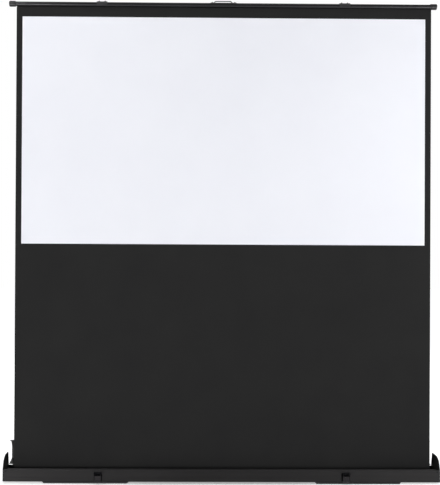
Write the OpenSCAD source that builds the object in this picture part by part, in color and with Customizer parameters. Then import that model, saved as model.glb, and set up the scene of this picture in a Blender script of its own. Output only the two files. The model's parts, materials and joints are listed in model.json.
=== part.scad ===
// Pull-up projection screen, raised: a floor case with a rear-hinged cover, a spring roller,
// a two-stage scissor behind the fabric and a round top bar. Front faces -Y, up is +Z, lengths in mm.
// A depth named d is counted back from the front face of the case.

/* [Screen] */
// Width of the white viewing area
view_w = 1771; // [1650:1:1900]
// Height of the white viewing area
view_h = 996; // [900:1:1150]
// Width of the black border at each side
border_side = 26; // [15:1:60]
// Height of the black border above the white area
border_top = 45; // [20:1:120]
// Thickness of the fabric
fabric_t = 0.6; // [0.4:0.1:1]
// Thickness of the white viewing layer
white_t = 0.2; // [0.1:0.05:0.3]
// Cut-off corner at the fabric's top
fabric_corner = 10; // [10:1:30]
// Sideways offset of the fabric, because the spring end of the roller is longer
fabric_x = 4; // [0:0.5:6]
// Depth of the fabric plane
fabric_d = 48; // [46:0.5:50]
// Height of the bar's upper edge over the floor
raised_h = 2096; // [1900:1:2130]

/* [Case] */
// Space between the fabric's edge and the case's end, on average
end_gap = 34; // [32:1:60]
// Depth of the case
case_d = 108.4; // [106:0.2:120]
// Height of the front wall over the case's bottom
front_h = 54; // [50:1:60]
// Height of the hinge axis over the case's bottom
hinge_h = 43; // [38:1:50]
// Wall of the case extrusion
wall = 1.8; // [1.4:0.1:2.4]
// Radius of the case's lower edges
case_r = 4; // [3:0.5:6]
// Height of the closed cover over the case's bottom
cover_h = 103.5; // [101:0.5:115]
// Thickness of the end cap's side plate
cheek_t = 3; // [2:0.5:3.5]
// Length of the end cap's band round the case
cap_band = 20; // [14:1:24]
// Wall of the end cap's band
cap_wall = 2.4; // [2.2:0.1:3]

/* [Cover] */
// Wall of the cover extrusion
lid_wall = 1.6; // [1.2:0.1:2]
// Angle that the cover is open
lid_open = 90; // [60:1:92]
// Radius of the hinge bead
bead_r = 2.8; // [2.2:0.1:3]
// Running gap in the hinge
bead_gap = 0.1; // [0.05:0.01:0.15]
// End gap between the cover and each side plate
lid_end_gap = 0.6; // [0.4:0.1:2]

/* [Feet] */
// Length of a swivel foot
foot_l = 375; // [300:1:400]
// Width of a swivel foot
foot_w = 92; // [70:1:92]
// Thickness of a swivel foot
foot_t = 6.2; // [5:0.1:8]
// Bevel at the foot's ends
foot_bevel = 8; // [4:1:12]
// Distance of the swivel bolts from the middle
foot_x = 590; // [520:1:600]
// Depth of the swivel bolts
foot_d = 48; // [44:1:50]
// How far a rubber pad stands out under the foot
pad_out = 1; // [0.5:0.1:2]
// Thickness of the swivel washer
washer_t = 0.8; // [0.6:0.1:1.5]

/* [Roller] */
// Radius of the roller tube
tube_r = 13; // [12:0.1:13.2]
// Wall of the roller tube
tube_t = 1.2; // [0.8:0.1:1.6]
// Thickness of the wraps left on the roller with the screen up
wraps_t = 1.35; // [0.8:0.05:1.4]
// Height of the roller's axis over the case's bottom
roller_h = 27; // [26:0.5:30]
// Length of the torsion spring
spring_l = 380; // [300:1:500]

/* [Scissor] */
// Length of an arm between its end pivots
arm_l = 1250; // [1180:1:1260]
// Width of an arm
arm_w = 16; // [14:0.5:17]
// Thickness of an arm
arm_t = 4; // [3:0.5:4.5]
// Gap between crossing arms, held by a washer
arm_gap = 1; // [0.8:0.1:1.5]
// Radius of the pivot pins
pin_r = 3; // [2.5:0.1:3.4]
// Depth of the scissor's middle plane
rail_d = 78; // [77:0.5:80]
// Outer width of the guide rails
rail_w = 36; // [35:0.5:38]
// Wall of the guide rails
rail_t = 2; // [1.5:0.1:2.5]
// Width of a rail's lip
rail_lip = 6; // [4:0.5:7]
// Space over and under a guide roller in its rail
rail_gap = 0.4; // [0.3:0.05:0.6]
// Height of the bar's axis over the upper end pivots
bar_over_pivot = 26; // [24:0.5:30]

/* [Top bar] */
// Radius of the bar
bar_r = 10.2; // [9.5:0.1:10.6]
// Wall of the bar
bar_t = 1.4; // [1:0.1:2]
// Width of the fabric slot under the bar
slot_w = 2.4; // [2:0.1:3]
// Radius of an end knob on the bar
knob_r = 12.75; // [12:0.25:14]
// Length of an end knob on the bar
knob_l = 28; // [20:1:28]
// Gap between the end knobs and the side plates
bar_end_gap = 3.5; // [2.5:0.5:6]
// Distance of the saddle clamps from the middle
clamp_x = 533; // [450:1:620]
// Width of a saddle clamp
clamp_w = 46; // [38:1:56]
// Thickness of a saddle clamp
clamp_t = 3; // [2.4:0.1:3.2]

/* [Pull handle] */
// Width of the handle's bracket
bracket_w = 115; // [100:1:130]
// Distance between the handle's legs
bail_w = 80; // [70:1:88]
// Length of the handle's legs
bail_l = 30; // [24:1:34]
// Radius of the handle's wire
bail_r = 2; // [1.4:0.05:2.2]
// Angle that the handle leans back
bail_lean = 28; // [20:1:60]

/* [Latches] */
// Distance of the latches from the middle
latch_x = 535; // [450:1:620]
// Width of the latch's back plate
plate_w = 34; // [34:1:40]
// Width of the latch's lever
lever_w = 26.8; // [25.6:0.2:26.8]
// Length of the latch's loop
loop_l = 34; // [30:1:36]
// Radius of the loop's wire
loop_r = 1.4; // [1.2:0.05:1.5]
// Angle that the slack loop leans forward
loop_lean = 38; // [30:1:60]

/* [Carry handle] */
// Distance between the carry handle's pivots
grip_l = 150; // [120:1:200]
// Length of the carry handle's arms
grip_arm = 26; // [22:1:30]
// Radius of the carry handle's grip
grip_r = 7; // [5:0.5:7.5]

/* [Hidden] */
$fn = 64;

black_paint = "#1c1c1e";
case_grey = "#3a3a3d";
steel = "#8d9095";
nylon = "#d8d6cc";
fit = 0.05;
soft_gap = 0.3;

// Main sizes along the case
fabric_w = view_w + 2 * border_side;
case_l = fabric_w + 2 * end_gap;
case_half = case_l / 2;
cheek_in = case_half - cheek_t;
trough_half = case_half - cap_band;
lid_half = cheek_in - lid_end_gap;
rail_half = trough_half - 20.5;
bar_half = cheek_in - bar_end_gap;

// Heights
case_z = pad_out + foot_t + washer_t;
floor_z = case_z + wall;
front_z = case_z + front_h;
hinge_z = case_z + hinge_h;
cover_z = case_z + cover_h;
roller_z = case_z + roller_h;
rail_in = arm_w + 2 * rail_gap;
pivot_z = floor_z + rail_t + rail_in / 2;
bar_z = raised_h - bar_r;
top_pivot_z = bar_z - bar_over_pivot;

// Scissor
arm_angle = asin((top_pivot_z - pivot_z) / (2 * arm_l));
pivot_x = arm_l * cos(arm_angle) / 2;
elbow_z = pivot_z + arm_l * sin(arm_angle);
lower_cross_z = (pivot_z + elbow_z) / 2;
upper_cross_z = (elbow_z + top_pivot_z) / 2;
front_arm_d = rail_d - arm_gap / 2 - arm_t;
rear_arm_d = rail_d + arm_gap / 2;
rail_front_d = rail_d - rail_w / 2;
rail_back_d = rail_d + rail_w / 2;
rail_slot = rail_w - 2 * rail_t - 2 * rail_lip;
rivet_head_r = 6;
rivet_head_h = 2;
guide_w = rail_lip - 1;
hub_r = 5;
rivet_r = 2;
rivet_flat = washer_t / 2;
rail_rivet_x = [for (i = [-2:2]) i * (rail_half - 55) / 2];

rail_roof = top_pivot_z + rail_in / 2 + rail_t;

// Swivel bolts of the feet
bolt_r = 4;
bolt_head_r = 9;
bolt_head_h = 3;

// Fabric and roller
roll_r = tube_r + wraps_t;
roller_d = fabric_d - fabric_t / 2 - soft_gap - roll_r;
tube_in_r = tube_r - tube_t;
tube_over = 12;
tube_x0 = fabric_x - fabric_w / 2 - tube_over;
tube_x1 = fabric_x + fabric_w / 2 + tube_over;
flange_t = 2;
plate_t = 3.5;
boss_r = 9;
shaft_r = 4.2;
shaft_sq = 7;
plug_l = 25;
spring_x0 = tube_x0 + plug_l + 1;
spring_x1 = spring_x0 + spring_l;
anchor_l = 15;
keder_r = 3;
bar_in_r = bar_r - bar_t;
keder_z = bar_z - bar_in_r + keder_r + 0.2;
bar_tube_half = bar_half - 6;
screw_r = 2;
screw_x = 13;
bracket_t = 1.6;
bracket_screw_x = bracket_w / 2 - 8;
fabric_top_z = keder_z - keder_r - soft_gap;
white_top_z = bar_z - bar_r - border_top;

// Case section
hinge_d = case_d - wall / 2;
port_r = 3.2;
port_hole_r = 1.8;
port_in = wall + port_r - 0.3;
ports = [[port_in, case_z + port_in], [port_in, front_z - 10], [case_d - port_in, case_z + port_in]];
groove_z = front_z - 6;
lip_l = 5;

// Cover outline when closed, from the front lip over the top to the hinge
lid_seat = 0.5;
lid_points = [[1.2, front_z + lid_seat + 0.5], [18, cover_z - 12.5], [43, cover_z],
  [case_d - 12.4, cover_z], [hinge_d - 0.7, hinge_z + bead_r + 0.9]];
lid_radii = [0, 18, 25, 5, 0];
cheek_points = [[0, case_z], [0, front_z], [18, cover_z - 12.5], [43, cover_z],
  [case_d - 12.4, cover_z], [case_d, hinge_z], [case_d, case_z]];
cheek_radii = [case_r, 6, 18, 25, 5, 6, case_r];

// Latch places, as depth and height
latch_a = [-5.5, case_z + 32];
latch_b = [-5.2, case_z + 23];
latch_wire_x = lever_w / 2 + loop_r + 0.3;
latch_pin_r = 1.5;
ear_x = 10;
ear_t = 1.4;
ear_r = 3.2;
lever_t = 1.4;

// Pull handle place, as depth and height
bail_d = fabric_d + 15;
bail_z = bar_z + 1;
bail_ear_t = 2;

// Carry handle on the closed cover
grip_d = 60;
grip_h = 8;

// The resting outline's depth, from the slack loops to the carry handle, sets the origin
loop_tip = latch_b + loop_l * [-sin(loop_lean), cos(loop_lean)];
front_most = loop_tip[0] - loop_r;
grip_closed = [grip_d + grip_arm, cover_z + grip_h];
grip_open = turned(grip_closed);
rear_most = grip_open[0] + grip_r;
y_front = -(front_most + rear_most) / 2;

// A point of the closed cover, carried to where the open cover has it
function turned(p) = let (v = p - [hinge_d, hinge_z])
  [hinge_d + v[0] * cos(lid_open) + v[1] * sin(lid_open),
   hinge_z - v[0] * sin(lid_open) + v[1] * cos(lid_open)];

function unit(v) = v / norm(v);
function flip(list) = [for (i = [len(list) - 1:-1:0]) list[i]];
function mean_angle(a, b) = b - a > 180 ? b - 360 : b - a < -180 ? b + 360 : b;

// The arc that rounds the corner q between p and s
function corner(p, q, s, r, steps = 8) = r <= 0 ? [q] :
  let (u = unit(p - q), v = unit(s - q), half = acos(u * v) / 2)
  let (c = q + unit(u + v) * r / sin(half), a = q + u * r / tan(half) - c)
  let (b = q + v * r / tan(half) - c, t0 = atan2(a[1], a[0]))
  let (t1 = mean_angle(t0, atan2(b[1], b[0])))
  [for (i = [0:steps]) let (t = t0 + (t1 - t0) * i / steps) c + r * [cos(t), sin(t)]];

function arc(r, a0, a1, steps = 24) = [for (i = [0:steps]) let (a = a0 + (a1 - a0) * i / steps)
  r * [cos(a), sin(a)]];

// A path with its inner corners rounded
function rounded(points, radii) = [for (i = [0:len(points) - 1])
  for (p = i == 0 || i == len(points) - 1 ? [points[i]]
    : corner(points[i - 1], points[i], points[i + 1], radii[i])) p];

// A closed outline with every corner rounded
function rounded_loop(points, radii) = let (n = len(points)) [for (i = [0:n - 1])
  for (p = corner(points[(i + n - 1) % n], points[i], points[(i + 1) % n], radii[i])) p];

// The normal to the right of the way from p to q
function right_of(p, q) = let (u = unit(q - p)) [u[1], -u[0]];

// A path moved to its right by t, with mitred corners
function beside(points, t) = [for (i = [0:len(points) - 1])
  let (n1 = right_of(points[max(i - 1, 0)], points[max(i, 1)]))
  let (n2 = i == len(points) - 1 ? n1 : right_of(points[i], points[i + 1]))
  points[i] + t * (n1 + n2) / (1 + n1 * n2)];

// Extrudes an outline of depth and height along the case
module along_x(x0, x1) {
  translate([x0, y_front, 0]) rotate([90, 0, 90]) linear_extrude(x1 - x0) children();
}

// Extrudes an outline of x and height from depth d0 to d1
module along_y(d0, d1) {
  translate([0, y_front + d1, 0]) rotate([90, 0, 0]) linear_extrude(d1 - d0) children();
}

// Moves what stands at the front face's foot to an x, a depth and a height
module at(x, d, z) {
  translate([x, y_front + d, z]) children();
}

module rod_y(x, z, r, d0, d1) {
  at(x, d1, z) rotate([90, 0, 0]) cylinder(r = r, h = d1 - d0);
}

module rod_x(d, z, r, x0, x1) {
  at(x0, d, z) rotate([0, 90, 0]) cylinder(r = r, h = x1 - x0);
}

module both_sides() {
  children();
  mirror([1, 0, 0]) children();
}

// Turns the closed cover's outline to its open place
module open_cover() {
  translate([hinge_d, hinge_z]) rotate(-lid_open) translate([-hinge_d, -hinge_z]) children();
}

// The U of floor, front wall and rear wall, at an inset from the outside
module tub(inset, over = 0) {
  polygon(rounded([[inset, front_z + over], [inset, case_z + inset],
    [case_d - inset, case_z + inset], [case_d - inset, hinge_z - 1 + over]],
    [0, case_r - inset, case_r - inset, 0]));
}

module tub_wall(inset, t) {
  difference() {
    tub(inset);
    tub(inset + t, 20);
  }
}

// Screw port that takes an end cap screw
module port(p) {
  translate(p) difference() {
    circle(port_r);
    circle(port_hole_r);
  }
}

module case_trough() {
  color(case_grey) difference() {
    along_x(-trough_half, trough_half) trough_section();
    for (s = [-1, 1]) at(s * foot_x, foot_d, case_z - 1) cylinder(r = bolt_r + fit, h = wall + 2);
    for (x = rail_rivet_x) at(x, rail_d, case_z - 1) cylinder(r = rivet_r + fit, h = wall + 2);
  }
}

module trough_section() {
  difference() {
    union() {
      tub_wall(0, wall);
      for (p = ports) port(p);
      translate([0, front_z - wall]) square([lip_l, wall]);
      translate([lip_l - 1.2, front_z - wall]) square([1.2, wall + lid_seat + 2]);
      translate([hinge_d - wall / 2, hinge_z - 4]) square([wall, 4]);
      translate([hinge_d, hinge_z]) circle(bead_r);
      for (d = [rail_front_d - 3, rail_back_d + 1]) translate([d, floor_z - 0.4]) square([2, 3]);
    }
    for (p = ports) translate(p) circle(port_hole_r);
    translate([-1, groove_z]) square([1.6, 1]);
  }
}

module cap_screw_places() {
  for (p = ports) translate([-case_half, y_front + p[0], p[1]]) rotate([0, 90, 0]) children();
}

module countersunk(r, head_r, l) {
  cylinder(r1 = head_r, r2 = r, h = head_r - r);
  cylinder(r = r, h = l);
}

// Place of the screw through the end cap's band
module band_screw_place() {
  at(-case_half + 13, 0, front_z - 8) rotate([-90, 0, 0]) children();
}

module end_cap() {
  difference() {
    union() {
      along_x(-case_half, -cheek_in) polygon(rounded_loop(cheek_points, cheek_radii));
      along_x(-cheek_in - 0.1, -trough_half) tub_wall(0, cap_wall);
      along_x(-cheek_in - 0.1, -trough_half + 10) tub_wall(wall + 0.2, 1.4);
      for (p = ports) along_x(-cheek_in - 0.1, -trough_half - 0.1) translate(p) circle(port_r);
    }
    cap_screw_places() translate([0, 0, -0.01]) countersunk(port_hole_r + fit, 3.5, cap_band + 1);
    for (p = ports) rod_x(p[0], p[1], port_r + 0.2, -trough_half - 0.05, -trough_half + 11);
    along_x(-trough_half, -trough_half + 11) trough_section();
    band_screw_place() translate([0, 0, -0.01]) countersunk(1.5 + fit, 3, 8);
  }
}

module end_cap_left() {
  color(black_paint) end_cap();
}

module end_cap_right() {
  color(black_paint) mirror([1, 0, 0]) end_cap();
}

module socket_screw(r, head_r, l) {
  difference() {
    countersunk(r, head_r, l);
    translate([0, 0, -0.1]) cylinder(r = head_r / 2.4, h = 1.3, $fn = 6);
  }
}

module end_cap_screws() {
  color(steel) both_sides() {
    cap_screw_places() socket_screw(port_hole_r - fit, 3.4, 34);
    band_screw_place() socket_screw(1.5, 2.9, 7);
  }
}

// Guide rail with its slot upward
module rail_section(z) {
  translate([rail_d, z]) difference() {
    translate([-rail_w / 2, -rail_in / 2 - rail_t]) square([rail_w, rail_in + 2 * rail_t]);
    translate([-rail_w / 2 + rail_t, -rail_in / 2]) square([rail_w - 2 * rail_t, rail_in]);
    translate([-rail_slot / 2, 0]) square([rail_slot, rail_in]);
  }
}

module bottom_rail() {
  color(steel) difference() {
    along_x(-rail_half, rail_half) rail_section(pivot_z);
    rod_y(-pivot_x, pivot_z, pin_r + fit, rail_front_d - 1, rail_back_d + 1);
    for (x = rail_rivet_x) at(x, rail_d, floor_z - 1) cylinder(r = rivet_r + fit, h = rail_t + 2);
  }
}

module case_rivets() {
  color(steel) {
    for (x = rail_rivet_x) at(x, rail_d, case_z - rivet_flat) {
      cylinder(r = rivet_r, h = wall + rail_t + rivet_flat);
      cylinder(r = 3.5, h = rivet_flat);
    }
    both_sides() latch_rivet_places() cylinder(r1 = 2.4, r2 = 1.8, h = 0.7);
  }
}

// Left bracket holds the square end of the spring shaft, the right one the end pin
module roller_bracket(x1) {
  along_x(-cheek_in, -cheek_in + plate_t) translate([roller_d, roller_z]) difference() {
    polygon(rounded_loop([[-20, -20], [-20, 20], [20, 20], [20, -20]], [6, 6, 6, 6]));
    for (a = [45, 135, 225, 315]) rotate(a) translate([20, 0]) circle(2);
  }
  rod_x(roller_d, roller_z, boss_r, -cheek_in + plate_t - 0.1, x1);
}

module roller_bracket_left() {
  color(black_paint) difference() {
    roller_bracket(tube_x0 - flange_t - 0.5);
    at(-cheek_in + 1, roller_d, roller_z) translate([0, -shaft_sq / 2 - fit, -shaft_sq / 2 - fit])
      cube([cap_band, shaft_sq + 2 * fit, shaft_sq + 2 * fit]);
  }
}

module roller_bracket_right() {
  color(black_paint) mirror([1, 0, 0]) difference() {
    roller_bracket(-tube_x1 - flange_t - 0.5);
    rod_x(roller_d, roller_z, shaft_r + fit, -cheek_in + 1, -tube_x1);
  }
}

module spring_shaft() {
  color(steel) {
    at(-cheek_in + 1, roller_d, roller_z) translate([0, -shaft_sq / 2, -shaft_sq / 2])
      cube([tube_x0 - flange_t + cheek_in - 1.4, shaft_sq, shaft_sq]);
    rod_x(roller_d, roller_z, shaft_r, tube_x0 - flange_t - 0.5, spring_x1 + anchor_l + 4);
  }
}

module torsion_spring() {
  color(steel) at(spring_x0, roller_d, roller_z) rotate([0, 90, 0]) difference() {
    cylinder(r = 8.4, h = spring_l - soft_gap);
    translate([0, 0, -1]) cylinder(r = shaft_r, h = spring_l + 2);
  }
}

module roller_tube() {
  color(steel) at(tube_x0, roller_d, roller_z) rotate([0, 90, 0]) difference() {
    cylinder(r = tube_r, h = tube_x1 - tube_x0);
    translate([0, 0, -1]) cylinder(r = tube_in_r, h = tube_x1 - tube_x0 + 2);
  }
}

module roller_plug_left() {
  color(black_paint) difference() {
    union() {
      rod_x(roller_d, roller_z, tube_r, tube_x0 - flange_t, tube_x0);
      rod_x(roller_d, roller_z, tube_in_r, tube_x0 - 0.1, tube_x0 + plug_l);
    }
    rod_x(roller_d, roller_z, shaft_r + fit, tube_x0 - flange_t - 1, tube_x0 + plug_l + 1);
  }
}

module roller_plug_right() {
  color(black_paint) {
    rod_x(roller_d, roller_z, tube_r, tube_x1, tube_x1 + flange_t);
    rod_x(roller_d, roller_z, tube_in_r, tube_x1 - plug_l, tube_x1 + 0.1);
    rod_x(roller_d, roller_z, shaft_r, tube_x1, cheek_in - 1.5);
  }
}

module spring_anchor() {
  color(black_paint) difference() {
    rod_x(roller_d, roller_z, tube_in_r, spring_x1, spring_x1 + anchor_l);
    rod_x(roller_d, roller_z, shaft_r + fit, spring_x1 - 1, spring_x1 + anchor_l + 1);
  }
}

module fabric_roll() {
  color(black_paint) at(fabric_x - fabric_w / 2, roller_d, roller_z) rotate([0, 90, 0]) difference() {
    cylinder(r = roll_r, h = fabric_w);
    translate([0, 0, -1]) cylinder(r = tube_r, h = fabric_w + 2);
  }
}

module screen_fabric() {
  half = fabric_w / 2;
  color(black_paint) along_y(fabric_d - fabric_t / 2, fabric_d + fabric_t / 2) translate([fabric_x, 0])
    polygon([[-half, roller_z], [half, roller_z], [half, fabric_top_z - fabric_corner],
      [half - fabric_corner, fabric_top_z], [-half + fabric_corner, fabric_top_z],
      [-half, fabric_top_z - fabric_corner]]);
}

module viewing_surface() {
  color("#f4f4f2") along_y(fabric_d - fabric_t / 2 - white_t, fabric_d - fabric_t / 2)
    translate([fabric_x - view_w / 2, white_top_z - view_h]) square([view_w, view_h]);
}

// Flat arm with an eye at each end and a bore at its middle
module arm(x, z, angle, d0) {
  along_y(d0, d0 + arm_t) translate([x, z]) rotate(angle) difference() {
    union() {
      translate([0, -arm_w / 2]) square([arm_l, arm_w]);
      for (l = [0, arm_l]) translate([l, 0]) circle(arm_w / 2);
    }
    for (l = [0, arm_l / 2, arm_l]) translate([l, 0]) circle(pin_r + fit);
  }
}

module lower_arm_front() {
  color(black_paint) arm(-pivot_x, pivot_z, arm_angle, front_arm_d);
}

module lower_arm_rear() {
  color(black_paint) arm(pivot_x, pivot_z, 180 - arm_angle, rear_arm_d);
}

module upper_arm_front() {
  color(black_paint) arm(-pivot_x, elbow_z, arm_angle, front_arm_d);
}

module upper_arm_rear() {
  color(black_paint) arm(pivot_x, elbow_z, 180 - arm_angle, rear_arm_d);
}

// Headed pin through a front and a rear arm
module arm_pin(x, z) {
  front = front_arm_d - 0.1;
  back = rear_arm_d + arm_t + 0.1;
  color(steel) {
    rod_y(x, z, pin_r, front - 0.1, back + 0.1);
    rod_y(x, z, rivet_head_r, front - rivet_head_h, front);
    rod_y(x, z, rivet_head_r, back, back + rivet_head_h);
  }
}

module arm_washer(x, z) {
  color(nylon) difference() {
    rod_y(x, z, arm_w / 2 - 1, rail_d - arm_gap / 2 + 0.1, rail_d + arm_gap / 2 - 0.1);
    rod_y(x, z, pin_r + fit, rail_d - arm_gap, rail_d + arm_gap);
  }
}

module lower_cross_pin() {
  arm_pin(0, lower_cross_z);
}

module upper_cross_pin() {
  arm_pin(0, upper_cross_z);
}

module left_elbow_pin() {
  arm_pin(-pivot_x, elbow_z);
}

module right_elbow_pin() {
  arm_pin(pivot_x, elbow_z);
}

module lower_arm_washers() {
  arm_washer(0, lower_cross_z);
  arm_washer(pivot_x, elbow_z);
}

module left_elbow_washer() {
  arm_washer(-pivot_x, elbow_z);
}

module upper_cross_washer() {
  arm_washer(0, upper_cross_z);
}

// Pin that carries an arm between the two walls of a rail
module rail_pin(z) {
  color(steel) {
    rod_y(-pivot_x, z, pin_r, rail_front_d - 0.1, rail_back_d + 0.1);
    rod_y(-pivot_x, z, pin_r + 2.5, rail_front_d - 1.6, rail_front_d);
    rod_y(-pivot_x, z, pin_r + 2.5, rail_back_d, rail_back_d + 1.6);
  }
}

module spacer(z, d0, d1) {
  color(nylon) difference() {
    rod_y(-pivot_x, z, hub_r, d0, d1);
    rod_y(-pivot_x, z, pin_r + fit, d0 - 1, d1 + 1);
  }
}

module bottom_pivot_pin() {
  rail_pin(pivot_z);
}

module top_pivot_pin() {
  rail_pin(top_pivot_z);
}

module bottom_pivot_spacers() {
  spacer(pivot_z, rail_front_d + rail_t, front_arm_d - 0.1);
  spacer(pivot_z, front_arm_d + arm_t + 0.1, rail_back_d - rail_t);
}

module top_pivot_spacers() {
  spacer(top_pivot_z, rail_front_d + rail_t, rear_arm_d - 0.1);
  spacer(top_pivot_z, rear_arm_d + arm_t + 0.1, rail_back_d - rail_t);
}

module slide_axle(z) {
  color(steel) rod_y(pivot_x, z, pin_r, rail_front_d + rail_t + 0.8, rail_back_d - rail_t - 0.8);
}

// Guide roller with a hub that reaches the arm it carries
module guide_roller(z, d0, d1, hub_d0, hub_d1) {
  color(nylon) difference() {
    union() {
      rod_y(pivot_x, z, arm_w / 2, d0, d1);
      rod_y(pivot_x, z, hub_r, hub_d0, hub_d1);
    }
    rod_y(pivot_x, z, pin_r + fit, hub_d0 - 9, hub_d1 + 9);
  }
}

module slide_rollers(z, arm_d) {
  front = rail_front_d + rail_t + 0.5;
  back = rail_back_d - rail_t - 0.5;
  guide_roller(z, front, front + guide_w, front, arm_d - 0.05);
  guide_roller(z, back - guide_w, back, arm_d + arm_t + 0.05, back);
}

module bottom_slide_axle() {
  slide_axle(pivot_z);
}

module top_slide_axle() {
  slide_axle(top_pivot_z);
}

module bottom_slide_rollers() {
  slide_rollers(pivot_z, rear_arm_d);
}

module top_slide_rollers() {
  slide_rollers(top_pivot_z, front_arm_d);
}

// Ring section round the bar's axis, from angle a0 to a1, where 0 points back and 90 up
module bar_ring(r0, r1, a0, a1) {
  translate([fabric_d, bar_z]) intersection() {
    difference() {
      circle(r1);
      circle(r0);
    }
    polygon(concat([[0, 0]], arc(2 * r1, a0, a1)));
  }
}

module clamp_screw_places() {
  for (s = [-1, 1], x = [-screw_x, screw_x]) at(s * clamp_x + x, fabric_d, bar_z) children();
}

module bracket_screw_places() {
  for (x = [-bracket_screw_x, bracket_screw_x]) at(x, fabric_d, bar_z) children();
}

module foot_screw_places() {
  for (s = [-1, 1], x = [-screw_x, screw_x]) at(s * clamp_x + x, rail_d, rail_roof) children();
}

module top_tube() {
  color(black_paint) difference() {
    along_x(-bar_tube_half, bar_tube_half) translate([fabric_d, bar_z]) difference() {
      circle(bar_r);
      circle(bar_in_r);
      translate([-slot_w / 2, -bar_r - 1]) square([slot_w, bar_r]);
    }
    clamp_screw_places() cylinder(r = screw_r + fit, h = bar_r + 1);
    bracket_screw_places() cylinder(r = screw_r + fit, h = bar_r + 1);
  }
}

// End knob with rounded rims and a blind bore for the bar
module knob() {
  bore = knob_l - 6;
  rim = 3;
  translate([bar_half, y_front + fabric_d, bar_z]) rotate([0, -90, 0]) rotate_extrude(convexity = 4)
    polygon(concat([[0, 0]], corner([0, 0], [knob_r, 0], [knob_r, knob_l], rim),
      corner([knob_r, 0], [knob_r, knob_l], [bar_r + fit, knob_l], 1),
      [[bar_r + fit, knob_l], [bar_r + fit, knob_l - bore], [0, knob_l - bore]]));
}

module bar_knobs() {
  color(black_paint) both_sides() knob();
}

module keder_rod() {
  color(nylon) rod_x(fabric_d, keder_z, keder_r, -bar_tube_half + 4, bar_tube_half - 4);
}

module top_rail() {
  color(black_paint) difference() {
    along_x(-rail_half, rail_half) translate([0, 2 * top_pivot_z]) mirror([0, 1]) rail_section(top_pivot_z);
    rod_y(-pivot_x, top_pivot_z, pin_r + fit, rail_front_d - 1, rail_back_d + 1);
    foot_screw_places() translate([0, 0, -rail_t - 1]) cylinder(r = screw_r + fit, h = rail_t + 2);
  }
}

// Saddle over the bar with a tail that stands on the top rail
module saddle() {
  inner = bar_r + fit;
  outer = inner + clamp_t;
  drop = rail_roof - bar_z;
  tail_end = rail_d + 9 - fabric_d;
  difference() {
    along_x(-clamp_w / 2, clamp_w / 2) translate([fabric_d, bar_z])
      polygon(concat([[-inner, -4], [-outer, -4]], arc(outer, 180, 0), [[outer, drop + clamp_t],
        [tail_end, drop + clamp_t], [tail_end, drop], [inner, drop]], arc(inner, 0, 180)));
    for (x = [-screw_x, screw_x]) {
      at(x, fabric_d, bar_z) cylinder(r = screw_r + fit, h = outer + 1);
      at(x, rail_d, rail_roof - 1) cylinder(r = screw_r + fit, h = clamp_t + 2);
    }
  }
}

module saddle_clamps() {
  color(black_paint) for (s = [-1, 1]) translate([s * clamp_x, 0, 0]) saddle();
}

module pan_screw(z0, z1) {
  translate([0, 0, z0]) cylinder(r = screw_r, h = z1 - z0 + 0.1);
  translate([0, 0, z1]) difference() {
    cylinder(r1 = 3.6, r2 = 3, h = 2.2);
    translate([0, 0, 1]) cylinder(r = 1.6, h = 2, $fn = 6);
  }
}

module bar_screws() {
  color(steel) {
    clamp_screw_places() pan_screw(bar_in_r - 1, bar_r + fit + clamp_t);
    bracket_screw_places() pan_screw(bar_in_r - 1, bar_r + fit + bracket_t);
    foot_screw_places() pan_screw(-rail_t, clamp_t);
  }
}

// Saddle in the bar's middle with two ears for the pull handle
module handle_bracket() {
  inner = bar_r + fit;
  ear_in = bail_w / 2 - bail_r - 0.4 - bail_ear_t;
  color(black_paint) difference() {
    union() {
      along_x(-bracket_w / 2, bracket_w / 2) bar_ring(inner, inner + bracket_t, -15, 150);
      both_sides() along_x(ear_in, ear_in + bail_ear_t) difference() {
        union() {
          translate([bail_d, bail_z]) circle(4.2);
          translate([fabric_d, bail_z - 4.2]) square([bail_d - fabric_d, 8.4]);
        }
        translate([fabric_d, bar_z]) circle(inner);
        translate([bail_d, bail_z]) circle(bail_r + fit);
      }
    }
    for (x = [-bracket_screw_x, bracket_screw_x])
      at(x, fabric_d, bar_z) cylinder(r = screw_r + fit, h = inner + 5);
  }
}

// Wire bail: ends bent inward, legs, rounded corners and a cross wire
module wire_bail(w, l, r, bend, inward) {
  both_sides() {
    translate([w / 2 - inward, 0, 0]) rotate([0, 90, 0]) cylinder(r = r, h = inward);
    translate([w / 2, 0, 0]) sphere(r);
    translate([w / 2, 0, 0]) cylinder(r = r, h = l - bend);
    translate([w / 2 - bend, 0, l - bend]) rotate([90, 0, 0]) rotate_extrude(angle = 90)
      translate([bend, 0]) circle(r);
  }
  translate([-w / 2 + bend, 0, l]) rotate([0, 90, 0]) cylinder(r = r, h = w - 2 * bend);
}

module pull_handle() {
  color(steel) at(0, bail_d, bail_z) rotate([-bail_lean, 0, 0])
    wire_bail(bail_w, bail_l, bail_r, 12, bail_r + bail_ear_t + 1.6);
}

module latch_rivet_places() {
  for (x = [-13, 13], z = [case_z + 10, case_z + 38.5])
    at(latch_x + x, -1.5, z) rotate([90, 0, 0]) children();
}

// Back plate with two ears that carry the lever's pin
module latch_plate() {
  along_x(-plate_w / 2, plate_w / 2) translate([-1.5, case_z + 6]) square([1.5, 36]);
  both_sides() along_x(ear_x, ear_x + ear_t) difference() {
    union() {
      translate(latch_a) circle(ear_r);
      translate([latch_a[0], latch_a[1] - ear_r]) square([-latch_a[0] - 1, 2 * ear_r]);
    }
    translate(latch_a) circle(latch_pin_r + fit);
  }
}

module latch_plates() {
  color(case_grey) for (s = [-1, 1]) translate([s * latch_x, 0, 0]) latch_plate();
}

module latch_pins() {
  half = lever_w / 2 + 0.6;
  color(steel) for (x = [-latch_x, latch_x])
    rod_x(latch_a[0], latch_a[1], latch_pin_r, x - half, x + half);
}

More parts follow.
